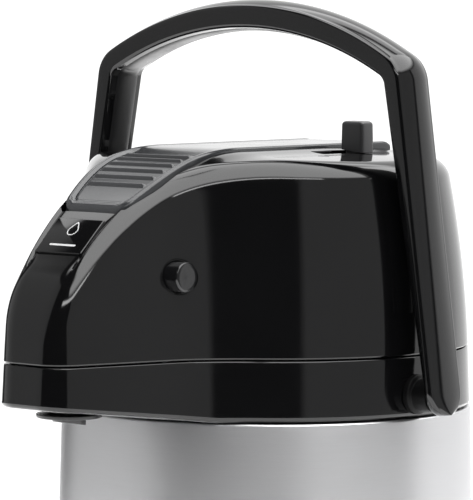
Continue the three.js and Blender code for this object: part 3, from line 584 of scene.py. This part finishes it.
def build_badge():
    place = slope_frame(BADGE_Y)
    tile = rectangle(-BADGE_HALF_X, BADGE_HALF_X, -BADGE_HALF_Y, BADGE_HALF_Y)
    outline = round_corners(tile, 0.8, 4)
    loops = []
    for inset, z in [(0, -1.6), (0, -0.72), (0.12, -0.58), (0.35, -0.52)]:
        narrow, short = 1 - inset / BADGE_HALF_X, 1 - inset / BADGE_HALF_Y
        loops.append(on_slope(place, [(x * narrow, y * short, z) for x, y in outline]))
    loft("badge_tile", loops, GLOSS_BLACK, "lid", ["badge_plate"], caps=True)
    low, high = -0.56, -0.44
    radius, centre_y = 2.5, 2.6
    drop = []
    for angle in angles(48):
        tip = 1 + 0.75 * max(math.sin(angle), 0) ** 6
        drop.append((radius * math.cos(angle), radius * math.sin(angle) * tip))
    rows = []
    for scale, z in [(1.0, low), (1.0, high), (0.84, high), (0.84, low)]:
        rows.append(on_slope(place, [(x * scale, centre_y + y * scale, z) for x, y in drop]))
    loft("badge_ring_mark", rows, MARK_PAINT, "lid", wrap=True)
    bar = round_corners(rectangle(-6.5, 6.5, -5.4, -4.5), 0.4, 4)
    rows = [on_slope(place, loop) for loop in prism(bar, low, high)]
    loft("badge_bar_mark", rows, MARK_PAINT, "lid", caps=True)


def top_height(x, y, clearance=0.0):
    """Height of the lid's skin above a point."""
    start = np.array([x, y, SEAM_Z])
    return float(reach_along(lid_skin_distance, np.array([[0, 0, 1.0]]), start, 0.0)[0, 2]) + clearance


def knob_loop(inset, z):
    """One loop of the lock knob; its skirt follows the lid's skin."""
    plan = rectangle(KNOB_X0 + inset, KNOB_X1 - inset, KNOB_Y0 + inset, KNOB_Y1 - inset)
    outline = round_corners(plan, max(1.5 - 0.4 * inset, 0.5), 6)
    if z >= KNOB_SKIRT_Z:
        return [(x, y, z) for x, y in outline]
    return [(x, y, max(z, top_height(x, y, 0.25))) for x, y in outline]


def build_lock():
    corners = rectangle(KNOB_X0 + 0.2, KNOB_X1 - 0.2, KNOB_Y0 + 0.2, KNOB_Y1 - 0.3)
    low = min(top_height(x, y) for x, y in corners) + 0.2
    fillet = 1.5
    lower = [(0.25, low), (0.0, low + 0.3), (0.0, low + 6), (0.1, KNOB_TOP_Z - fillet)]
    loops = [knob_loop(inset, z) for inset, z in lower]
    for step in range(1, 7):
        angle = math.pi / 2 * step / 6
        inset = 0.1 + fillet * (1 - math.cos(angle))
        loops.append(knob_loop(inset, KNOB_TOP_Z - fillet * (1 - math.sin(angle))))
    loft("lock_knob", loops, SATIN_GREY, "travel_lock", ["lock_slider"], caps=True)
    stem = prism(rectangle(29.4, 34.2, 12.4, 18.7), COLLAR_Z + 88.6, low + 1)
    loft("lock_stem", stem, SATIN_GREY, "travel_lock", caps=True)


def build_lock_marks():
    """A plain arrow and bar beside the slot, in place of lettering."""
    shapes = {
        "lock_arrow_mark": [(39.5, -16.5), (42.5, -13.5), (39.5, -13.5)],
        "lock_bar_mark": rectangle(38.6, 40.4, -11.5, -1.5),
    }
    for name, outline in shapes.items():
        rows = [[(x, y, top_height(x, y, lift)) for x, y in outline] for lift in (-0.05, 0.06)]
        loft(name, rows, SATIN_GREY, "lid", caps=True)


def wall_x(y, z):
    """How far the lid's skin is from the middle plane at a height on its side."""
    start = np.array([0, y, z])
    return float(reach_along(lid_distance, np.array([[1.0, 0, 0]]), start, 0.0)[0, 0])


def build_buttons():
    for name, side in [("left", -1), ("right", 1)]:
        edge = BUTTON_END - 0.1
        cap = [(0.02, 24, 0), (BUTTON_R, 24, 0), (BUTTON_R, edge, 0.9), (BUTTON_R - 1.6, BUTTON_END, 1.2),
               (0.02, edge, 0)]
        turned(f"button_cap_{name}", cap, BUTTON_BLACK, f"{name}_release",
               [f"release_button_{name}"], segments=BUTTON_SEGMENTS, place=along_x(side, BUTTON_Y, BUTTON_Z))
        # The socket's rim follows the lid's wall; each row is (radius, distance outside the wall).
        bore = BUTTON_R + 0.2
        rim = [(bore, -4), (bore, -0.35), (bore + 0.2, -0.12)]
        rim += [(BUSH_R - 0.15, -0.1), (BUSH_R, -0.3), (BUSH_R, -4)]
        rows = []
        for r, proud in rim:
            row = []
            for angle in angles(BUTTON_SEGMENTS):
                y, z = BUTTON_Y + r * math.sin(angle), BUTTON_Z + r * math.cos(angle)
                row.append((side * (wall_x(y, z) + proud), y, z))
            rows.append(row)
        loft(f"button_socket_{name}", rows, GLOSS_BLACK, "lid", [f"button_bush_{name}"],
             wrap=True)


# ---------------------------------------------------------------- lever

LEVER_DEPTH = 8.5
DISH = 1.3
RIM = 3.6
NOSE_R = 5.0
LIP_R = 3.4
GRIP_FRONT, GRIP_REAR = -97.4, -60.0
GRIP_CORNER = 3.6
RIB_FIRST, RIB_PITCH, RIB_COUNT = -87.6, 4.7, 6
RIB_HALF, RIB_HEIGHT = 0.95, 1.1


def lever_top(y):
    """Height of the lever's rim."""
    return ramp_height(-y) + LEVER_LIFT * smooth(-LEVER_FRONT, LEVER_NECK_Y, y)


def dish_depth(y):
    """How far the lever's floor lies below its rim."""
    return DISH * float(smooth(-100.0, -96.0, y)) * (1 - 0.8 * float(smooth(-62, -50, y)))


def quarter_drop(radius, share):
    """How far a quarter round of a radius has fallen, at a share of the way to its end."""
    return radius * (1 - math.sqrt(max(1 - share ** 2, 0)))


def lever_section(y):
    """One closed loop across the lever: rounded rims, a dished floor and a hollow underside."""
    half = lever_half(y) - quarter_drop(NOSE_R, max((NOSE_R - LEVER_FRONT - y) / NOSE_R, 0))
    roll = quarter_drop(LIP_R, max((LIP_R - LEVER_FRONT - y) / LIP_R, 0))
    rear = float(smooth(LEVER_REAR - 3, LEVER_REAR, y))
    dish = dish_depth(y)
    roof = float(lever_top(y)) - roll - 1.0 * rear ** 2
    depth = LEVER_DEPTH - roll
    right = [(half, -depth), (half, -1.5), (half - 0.1, -0.9), (half - 0.4, -0.4), (half - 0.9, -0.1),
             (half - 1.5, 0.0), (half - RIM + 1.4, -0.04 * dish), (half - RIM + 0.9, -0.2 * dish),
             (half - RIM + 0.4, -0.8 * dish), (half - RIM, -dish)]
    right += [(x, -dish) for x in np.linspace(half - RIM - 1.5, 0, 5)[:-1]]
    under = [(half - 2.4, -depth), (half - 2.8, -3.0)]
    section = [(-x, dz) for x, dz in right] + [(0, -dish)] + right[::-1]
    section += under + [(-x, dz) for x, dz in under[::-1]]
    return [(x, y, roof + dz) for x, dz in section]


def build_lever():
    front = -LEVER_FRONT + NOSE_R * (1 - np.cos(np.linspace(0, math.pi / 2, 16)))
    stations = list(front) + list(np.linspace(-95.5, LEVER_REAR, 90))
    lever = loft("lever_skin", [lever_section(y) for y in stations], LEVER_GREY, "lever",
                 ["push_lever"], caps=True, sharp=40)
    seat = lever_grip_loops(margin=0.22, lift=4.0, ribbed=False)
    cut_away(lever, [cutter("grip_seat", seat)], sharp=40)
    insert = lever_grip_loops(margin=0, lift=0, ribbed=True)
    loft("lever_grip_skin", insert, LEVER_GREY, "lever", ["lever_grip"], caps=True, sharp=40)


def rib_height(y):
    height = 0.0
    for k in range(RIB_COUNT):
        off = abs(y - RIB_FIRST - k * RIB_PITCH) / RIB_HALF
        height = max(height, RIB_HEIGHT * (1 - off ** 2) if off < 1 else 0)
    return height


def lever_grip_loops(margin, lift, ribbed):
    """The insert on the floor of the lever's dish, or, without ribs, the seat cut for it."""
    loops = []
    for y in np.linspace(GRIP_FRONT - margin, GRIP_REAR + margin, 260):
        end = min(y - GRIP_FRONT + margin, GRIP_REAR + margin - y)
        corner = quarter_drop(GRIP_CORNER, max((GRIP_CORNER - end) / GRIP_CORNER, 0))
        half = lever_half(y) - RIM + margin - corner
        rib = rib_height(y) if ribbed else 0.0
        top = float(lever_top(y)) - dish_depth(y) + lift
        right = [(half, -2.3 - lift), (half, -0.25), (half - 0.15, -0.06), (half - 1.0, 0),
                 (half - 1.5, 0.7 * rib), (half - 2.2, rib)]
        right += [(x, rib) for x in np.linspace(half - 3.0, 0, 5)[:-1]]
        section = right + [(0, rib)] + [(-x, z) for x, z in right[::-1]]
        loops.append([(x, y, top + z) for x, z in section])
    return loops


# ---------------------------------------------------------------- collar and body


TRAY_BORE_R = 31.5
TRAY_WALL = 2.8
COLLAR_SEAT_R = 76.6


def underside_z(loop):
    """The collar's underside rises towards the front of the beak."""
    return COLLAR_Z + BEAK_RISE * np.maximum(-loop[:, 1] - BEAK_RISE_Y, 0)


def at_outlet(point):
    return point[0], point[1] + OUTLET_Y, point[2]


def build_collar():
    lower_plan = plan_loop(-(COLLAR_R - NECK_R))
    upper_plan = plan_loop(0)
    inward = plan_loop(1.0) - upper_plan
    floor = underside_z(lower_plan)

    def wall(share, inset=0.0, lift=0.0):
        loop = lower_plan * (1 - share) + upper_plan * share + inward * inset
        loop[:, 2] = floor * (1 - share) + COLLAR_TOP_Z * share + lift
        return loop

    tray = plan_loop(TRAY_WALL)
    loops = [circle_loop(TRAY_BORE_R, DECK_Z), circle_loop(TRAY_BORE_R, TRAY_Z), at_height(tray, TRAY_Z)]
    loops += [at_height(tray, COLLAR_TOP_Z - 0.6), at_height(plan_loop(TRAY_WALL - 0.5), COLLAR_TOP_Z)]
    loops += [wall(1, 0.6), wall(1, 0.28, -0.1), wall(1, 0.08, -0.32), wall(1, 0, -0.7)]
    loops += [wall(share) for share in (0.8, 0.6, 0.4, 0.24, 0.16)]
    fillet = 2.2
    for step in range(7):
        angle = math.pi / 2 * step / 6
        loops.append(wall(0, fillet * (1 - math.cos(angle)), fillet * (1 - math.sin(angle))))
    rim = loops[-1]
    seat = circle_loop(COLLAR_SEAT_R, COLLAR_Z)
    for share in (0.25, 0.5, 0.75, 1.0):
        loop = rim * (1 - share) + seat * share
        loop[:, 2] = underside_z(loop)
        loops.append(loop)
    loops.append(circle_loop(COLLAR_SEAT_R, DECK_Z))
    collar = loft("collar_skin", loops, GLOSS_BLACK, "flask_body", ["collar"], wrap=True)
    bore = [(NOZZLE_HOLE_R, COLLAR_Z - 5), (NOZZLE_HOLE_R, SEAM_Z)]
    cut_away(collar, [cutter("nozzle_hole", turned_loops(bore, 48, at_outlet))])


def build_shell_and_base():
    """Profiles of (radius, height, corner radius): the steel shell, the base ring and the turntable."""
    top = COLLAR_Z - 0.3
    sleeve_out, sleeve_in, sleeve_top = 75.9, 75.1, top + 8
    shell = [
        (SHELL_FOOT_R, SHELL_Z, 0.3), (COLLAR_R + 0.25, top - 0.9, 0), (COLLAR_R + 0.1, top - 0.3, 0),
        (COLLAR_R - 0.5, top, 0), (sleeve_out, top, 0.3), (sleeve_out, sleeve_top, 0),
        (sleeve_in, sleeve_top, 0), (sleeve_in, top - 1.1, 0), (COLLAR_R - 0.9, top - 1.3, 0),
        (SHELL_FOOT_R - 0.8, SHELL_Z, 0.3),
    ]
    turned("steel_shell_skin", shell, SHELL_STEEL, "flask_body", ["outer_shell"],
           segments=256)
    hub_top = 19.6
    foot, floor, rim = 9.5, 12.5, 25.7
    hub_bore, hub_out, ring_in, ring_out = 11.4, 15, 82.6, 85
    base = [
        (hub_bore, foot, 0), (83.5, foot, 1.6), (ring_out, foot + 4, 1.2), (ring_out, rim, 1.0),
        (ring_in, rim, 0.3), (ring_in, floor, 0), (hub_out, floor, 0), (hub_out, hub_top, 0),
        (hub_bore, hub_top, 0),
    ]
    turned("base_ring_skin", base, SATIN_BLACK, "flask_body", ["base_ring"], segments=192)
    table = [
        (0.02, 1.9, 0), (74, 1.9, 1), (76.5, 3.8, 0.8), (76.5, 7, 0.8), (11, 7, 0), (11, hub_top, 0),
        (0.02, hub_top, 0),
    ]
    turned("turntable_skin", table, SATIN_BLACK, "swivel_base", ["turntable"], segments=128)


def build_spout():
    low, high = COLLAR_Z + 2.7, COLLAR_Z + 4.2
    flange = [(4.2, low, 0), (12.2, low, 0.5), (12.4, high, 0.3), (4.2, high, 0)]
    turned("spout_flange_skin", flange, SATIN_BLACK, "flask_body", ["spout_flange"],
           segments=96, place=at_outlet)
    top, length = COLLAR_Z + 2.5, 5.5

    def slanted(point):
        """Slants the nozzle's mouth, so that it is shorter in front."""
        x, y, z = at_outlet(point)
        mouth = COLLAR_Z + 0.35 - 0.16 * (y - OUTLET_Y)
        share = (top - z) / length
        return x, y, top - (top - mouth) * share

    nozzle = [(4.1, top - length, 0.3), (6.2, top - length, 0.4), (6.4, top, 0), (4.1, top, 0)]
    turned("spout_nozzle_skin", nozzle, SATIN_BLACK, "flask_body", ["spout_nozzle"],
           segments=96, place=slanted)


def build_pivots():
    """Each boss steps down from a flange on the collar to the pin that the handle's arm turns on."""
    flange, neck, pin = 7.6, 6.2, 3.2
    root, shoulder, pin_end = 79.2, 88.6, 92.2
    boss = [(0.02, root, 0), (flange, root, 0), (flange, 81.4, 0.8), (neck, 82.2, 0.6), (neck, shoulder, 0.4),
            (pin, shoulder, 0), (pin, pin_end, 0.4), (0.02, pin_end, 0)]
    for name, side in [("left", -1), ("right", 1)]:
        turned(f"pivot_boss_{name}", boss, PIVOT_BLACK, "flask_body",
               [f"handle_pivot_{name}"], segments=72, place=along_x(side, PIVOT_Y, PIVOT_Z))


# ---------------------------------------------------------------- handle


def handle_path(arm_steps, bend_steps, arch_steps):
    """Outer edge in the XZ plane with the inward direction, right pivot to left pivot."""
    low, high = Vector(ARM_LOW), Vector(ARM_HIGH)
    along = (high - low).normalized()
    inward = Vector((-along.y, along.x))
    centre_line = low + inward * SHOULDER_R
    from_arch = centre_line - Vector((0, ARCH_Z))
    # The shoulder's centre is where the arm's offset line meets the arch's inner circle.
    half_linear = from_arch.dot(along)
    constant = from_arch.length_squared - (ARCH_R - SHOULDER_R) ** 2
    shoulder = centre_line + along * (-half_linear + math.sqrt(half_linear ** 2 - constant))
    arm_end = shoulder - inward * SHOULDER_R
    bottom = low + along * ((PIVOT_Z - ARM_END - low.y) / along.y)
    half = []
    for i in range(arm_steps):
        share = (i / arm_steps) ** 2
        point = bottom.lerp(arm_end, share)
        half.append((point.x, point.y, inward.x, inward.y))
    start = math.atan2(-inward.y, -inward.x)
    end = math.atan2(shoulder.y - ARCH_Z, shoulder.x)
    for i in range(bend_steps + 1):
        angle = start + (end - start) * i / bend_steps
        nx, nz = math.cos(angle), math.sin(angle)
        half.append((shoulder.x + SHOULDER_R * nx, shoulder.y + SHOULDER_R * nz, -nx, -nz))
    for i in range(1, arch_steps + 1):
        angle = end + (math.pi / 2 - end) * i / arch_steps
        nx, nz = math.cos(angle), math.sin(angle)
        half.append((ARCH_R * nx, ARCH_Z + ARCH_R * nz, -nx, -nz))
    return half + [(-x, z, -nx, nz) for x, z, nx, nz in half[-2::-1]]


def sweep_handle(name, section, from_height, material, replaces):
    """Sweeps a section of (share of the half width, share of the depth, bulge, inset) points.

    The bar grows deeper and bulges more towards the arch, and its arms end in a round."""
    loops = []
    for x, z, nx, nz in handle_path(arm_steps=70, bend_steps=22, arch_steps=60):
        if z < from_height:
            continue
        up = min(max((z - PIVOT_Z) / (ARCH_Z + ARCH_R - PIVOT_Z), 0), 1)
        thick = ARM_THICK + (ARCH_THICK - ARM_THICK) * up
        swell = 1 + up
        below = min((z - PIVOT_Z - 2.2) / (ARM_END + 2.3), 0)
        half = HANDLE_HALF * math.sqrt(max(1 - below ** 2, 0.02))
        loop = []
        for across, depth, bulge, inset in section:
            d = depth * thick + bulge * swell + inset
            loop.append((x + nx * d, PIVOT_Y + across * half, z + nz * d))
        loops.append(loop)
    loft(name, loops, material, "bail_handle", replaces, caps=True, sharp=50)


def inner_bulge(across):
    return INNER_BULGE * (1 - (across / HANDLE_FLANK) ** 2)


def build_handle():
    quarter = [k * math.pi / 12 for k in range(7)]
    edge = [(HANDLE_EDGE * (1 - math.cos(a)) / HANDLE_HALF, HANDLE_EDGE * (1 - math.sin(a))) for a in quarter]
    spread_over = [HANDLE_FLANK * (2 * k / 20 - 1) for k in range(21)]
    outer = [(across, 0, -(1 - (across / HANDLE_FLANK) ** 2), 0) for across in spread_over]
    side = [(1 - a, 0, 0, b) for a, b in edge[::-1]][1:]
    side += [(1 - a, 1, 0, -b) for a, b in edge]
    inner = [(across, 1, inner_bulge(across), 0) for across in spread_over[::-1]][1:-1]
    section = outer + side + inner + [(-a, d, b, i) for a, d, b, i in side[::-1]]
    sweep_handle("handle_skin", section, 0, GLOSS_BLACK, ["handle"])
    lining = []
    for k in range(15):
        across = LINING_HALF * (2 * k / 14 - 1)
        proud = LINING_PROUD * (1 - (across / LINING_HALF) ** 6)
        lining.append((across, 1, inner_bulge(across), proud))
    lining += [(LINING_HALF, 1, 0, -LINING_PROUD), (-LINING_HALF, 1, 0, -LINING_PROUD)]
    sweep_handle("handle_lining", lining, LINING_FOOT_Z, SATIN_BLACK, ["handle_inner_cover"])


# ---------------------------------------------------------------- pump

BELLOWS_Z = SEAM_Z + 6.2
BELLOWS_TOP = 250.0
BELLOWS_FOLDS = 5
VALLEY_R, FOLD_R, BELLOWS_WALL = 23.5, 27.8, 1.4
SPRING_TURNS = 5
SPRING_R, WIRE_R = 15.0, 0.9


def squash_down(piece):
    """Gives a piece its own copy of its mesh."""
    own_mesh(piece)


def build_pump():
    pitch = (BELLOWS_TOP - BELLOWS_Z) / BELLOWS_FOLDS
    outside = [(VALLEY_R, BELLOWS_Z, 0)]
    for fold in range(BELLOWS_FOLDS):
        outside.append((FOLD_R, BELLOWS_Z + (fold + 0.5) * pitch, 1.6))
        if fold < BELLOWS_FOLDS - 1:
            outside.append((VALLEY_R, BELLOWS_Z + (fold + 1) * pitch, 1.6))
    outside.append((VALLEY_R, BELLOWS_TOP, 0))
    profile = outside + [(r - BELLOWS_WALL, z, fillet) for r, z, fillet in outside[::-1]]
    bellows = turned("bellows_skin", profile, BLACK_RUBBER, "lid", ["air_bellows"],
                     segments=96)
    squash_down(bellows)
    loops = []
    steps = SPRING_TURNS * 36
    for step in range(steps + 1):
        angle = 2 * math.pi * SPRING_TURNS * step / steps
        z = BELLOWS_Z + 1 + (BELLOWS_TOP - BELLOWS_Z - 2) * step / steps
        loop = []
        for around in angles(12):
            r = SPRING_R + WIRE_R * math.cos(around)
            loop.append((r * math.cos(angle), r * math.sin(angle), z + WIRE_R * math.sin(around)))
        loops.append(loop)
    spring = loft("spring_wire", loops, SMALL_STEEL, "lid", ["bellows_spring"], caps=True)
    squash_down(spring)


# ---------------------------------------------------------------- CAD nodes that stay

NODE_FINISH = {
    "turntable_pad": BLACK_RUBBER,
    "glide_ring": WHITE_PLASTIC,
    "hub_washer": SMALL_STEEL,
    "hub_screw": SMALL_STEEL,
    "liner_cushion": BLACK_RUBBER,
    "flask_outer_wall": BRIGHT_STEEL,
    "flask_inner_bottom": BRIGHT_STEEL,
    "flask_inner_body": BRIGHT_STEEL,
    "flask_inner_shoulder": BRIGHT_STEEL,
    "flask_inner_neck": BRIGHT_STEEL,
    "neck_gasket": PALE_SEAL,
    "lid_hinge_pin": SMALL_STEEL,
    "dip_tube": BRIGHT_STEEL,
    "tube_holder": WHITE_PLASTIC,
    "tip_over_ball": SMALL_STEEL,
    "outlet_tube": WHITE_PLASTIC,
    "spout_elbow": SATIN_BLACK,
    "lid_frame": SATIN_BLACK,
    "lever_pin": SMALL_STEEL,
    "lid_seal": PALE_SEAL,
    "pump_housing": WHITE_PLASTIC,
    "press_plate": WHITE_PLASTIC,
    "lock_tongue": WHITE_PLASTIC,
    "latch_arm_left": WHITE_PLASTIC,
    "latch_arm_right": WHITE_PLASTIC,
}


def finish_cad_nodes():
    for name, material in NODE_FINISH.items():
        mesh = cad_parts[name].data
        mesh.materials.clear()
        mesh.materials.append(material)


# ---------------------------------------------------------------- camera, floor and light

VIEW_AZIMUTH = math.radians(40.5)
VIEW_DISTANCE = 1.6055
VIEW_HEIGHT = COLLAR_Z * MM + 0.16895
VIEW_PITCH = math.radians(3.893)
VIEW_YAW = math.radians(0.4265)
VIEW_ROLL = math.radians(0.305)
FOCAL_MM = 295.0


def build_camera():
    data = bpy.data.cameras.new("camera")
    data.lens = FOCAL_MM
    data.sensor_width = 36
    data.clip_start = 0.05
    data.clip_end = 60
    camera = bpy.data.objects.new("camera", data)
    sideways, ahead = math.sin(VIEW_AZIMUTH), math.cos(VIEW_AZIMUTH)
    camera.location = (VIEW_DISTANCE * sideways, -VIEW_DISTANCE * ahead, VIEW_HEIGHT)
    heading = Matrix.Rotation(VIEW_AZIMUTH + VIEW_YAW, 4, "Z")
    tilt = Matrix.Rotation(math.pi / 2 - VIEW_PITCH, 4, "X")
    roll = Matrix.Rotation(VIEW_ROLL, 4, "Z")
    camera.rotation_mode = "QUATERNION"
    camera.rotation_quaternion = (heading @ tilt @ roll).to_quaternion()
    bpy.context.scene.collection.objects.link(camera)
    bpy.context.scene.camera = camera


FLOOR_R = 1.05
FLOOR_SEGMENTS = 96
FLOOR_GLOW = 0.3


def build_floor():
    """A round floor, small enough that the upright walls still mirror the low soft boxes."""
    rim = [(FLOOR_R * math.cos(angle), FLOOR_R * math.sin(angle), 0) for angle in angles(FLOOR_SEGMENTS)]
    mesh = bpy.data.meshes.new("floor")
    mesh.from_pydata(rim, [], [tuple(range(FLOOR_SEGMENTS))])
    floor = bpy.data.objects.new("floor", mesh)
    material, _, shader = principled("pale_floor", (0.86, 0.86, 0.86), 0.9)
    shader.inputs["Emission Color"].default_value = (1, 1, 1, 1)
    shader.inputs["Emission Strength"].default_value = FLOOR_GLOW
    mesh.materials.append(material)
    bpy.context.scene.collection.objects.link(floor)


def math_node(tree, operation, *values):
    """A maths node; each value is a number or another node's output."""
    node = tree.nodes.new("ShaderNodeMath")
    node.operation = operation
    for socket, value in zip(node.inputs, values):
        if isinstance(value, (int, float)):
            socket.default_value = value
        else:
            tree.links.new(value, socket)
    return node.outputs[0]


def window(tree, value, low, high, soft):
    """1 while value is between low and high, with soft edges."""
    sides = []
    for start, end, before, after in [(low, low + soft, 0, 1), (high - soft, high, 1, 0)]:
        step = tree.nodes.new("ShaderNodeMapRange")
        step.interpolation_type = "SMOOTHSTEP"
        step.inputs["From Min"].default_value = start
        step.inputs["From Max"].default_value = end
        step.inputs["To Min"].default_value = before
        step.inputs["To Max"].default_value = after
        tree.links.new(value, step.inputs["Value"])
        sides.append(step.outputs["Result"])
    return math_node(tree, "MULTIPLY", *sides)


# Soft boxes of the studio: low and high azimuth, low and high elevation and soft edge in degrees,
# then strength. Azimuth 0 is ahead of the spout, and 90 is on its +X side.
SOFT_BOXES = [
    (-100, -18, -40, 50, 6, 0.5),
    (58, 126, -40, 36, 6, 0.46),
    (126, 190, -40, 36, 6, 1.1),
    (-190, -116, -40, 52, 6, 1.2),
    (36, 190, 33, 100, 9, 5.0),
    (-190, 36, 62, 100, 8, 5.0),
    (-190, -94, 40, 62, 5, 2.6),
    (14, 80, 28, 34, 2, 9.0),
]
ROOM_LIGHT = 0.035
DEGREES = 180 / math.pi


def build_world():
    world = bpy.data.worlds.new("studio")
    world.use_nodes = True
    bpy.context.scene.world = world
    tree = world.node_tree
    background = tree.nodes["Background"]
    where = tree.nodes.new("ShaderNodeTexCoord")
    split = tree.nodes.new("ShaderNodeSeparateXYZ")
    tree.links.new(where.outputs["Generated"], split.inputs[0])
    ahead = math_node(tree, "MULTIPLY", split.outputs["Y"], -1.0)
    heading = math_node(tree, "ARCTAN2", split.outputs["X"], ahead)
    azimuth = math_node(tree, "MULTIPLY", heading, DEGREES)
    elevation = math_node(tree, "MULTIPLY", math_node(tree, "ARCSINE", split.outputs["Z"]), DEGREES)
    total = ROOM_LIGHT
    for az0, az1, el0, el1, soft, strength in SOFT_BOXES:
        rows = window(tree, elevation, el0, el1, soft)
        columns = window(tree, azimuth, az0, az1, soft)
        lit = math_node(tree, "MULTIPLY", rows, columns)
        total = math_node(tree, "ADD", math_node(tree, "MULTIPLY", lit, strength), total)
    # The camera sees plain white behind the pot, not the soft boxes.
    path = tree.nodes.new("ShaderNodeLightPath")
    seen = math_node(tree, "MAXIMUM", total, path.outputs["Is Camera Ray"])
    tree.links.new(seen, background.inputs["Strength"])
    background.inputs["Color"].default_value = (1, 1, 1, 1)


# Square lights: name, place in metres, height aimed at, side in metres, watts.
AREA_LIGHTS = [
    ("key_light", (1.6, -1.4, 2.2), 0.2, 1.6, 14),
    ("fill_light", (-2.0, -1.0, 1.8), 0.2, 1.8, 12),
    ("back_light", (0.2, 2.2, 2.0), 0.1, 1.8, 14),
]


def add_area(name, location, aim_z, size, power):
    data = bpy.data.lights.new(name, "AREA")
    data.size = size
    data.energy = power
    light = bpy.data.objects.new(name, data)
    light.location = location
    aim = Vector((0, 0, aim_z)) - Vector(location)
    light.rotation_mode = "QUATERNION"
    light.rotation_quaternion = aim.to_track_quat("-Z", "Y")
    light.visible_glossy = False
    bpy.context.scene.collection.objects.link(light)


def build_lights():
    for light in AREA_LIGHTS:
        add_area(*light)


build_camera()
build_floor()
build_world()
build_lights()
bpy.context.scene.view_settings.view_transform = "Standard"
finish_cad_nodes()
build_shell_and_base()
build_collar()
build_spout()
build_pivots()
build_lid_skin()
build_lid_hinge()
build_badge()
build_lock()
build_lock_marks()
build_buttons()
build_lever()
build_handle()
build_pump()
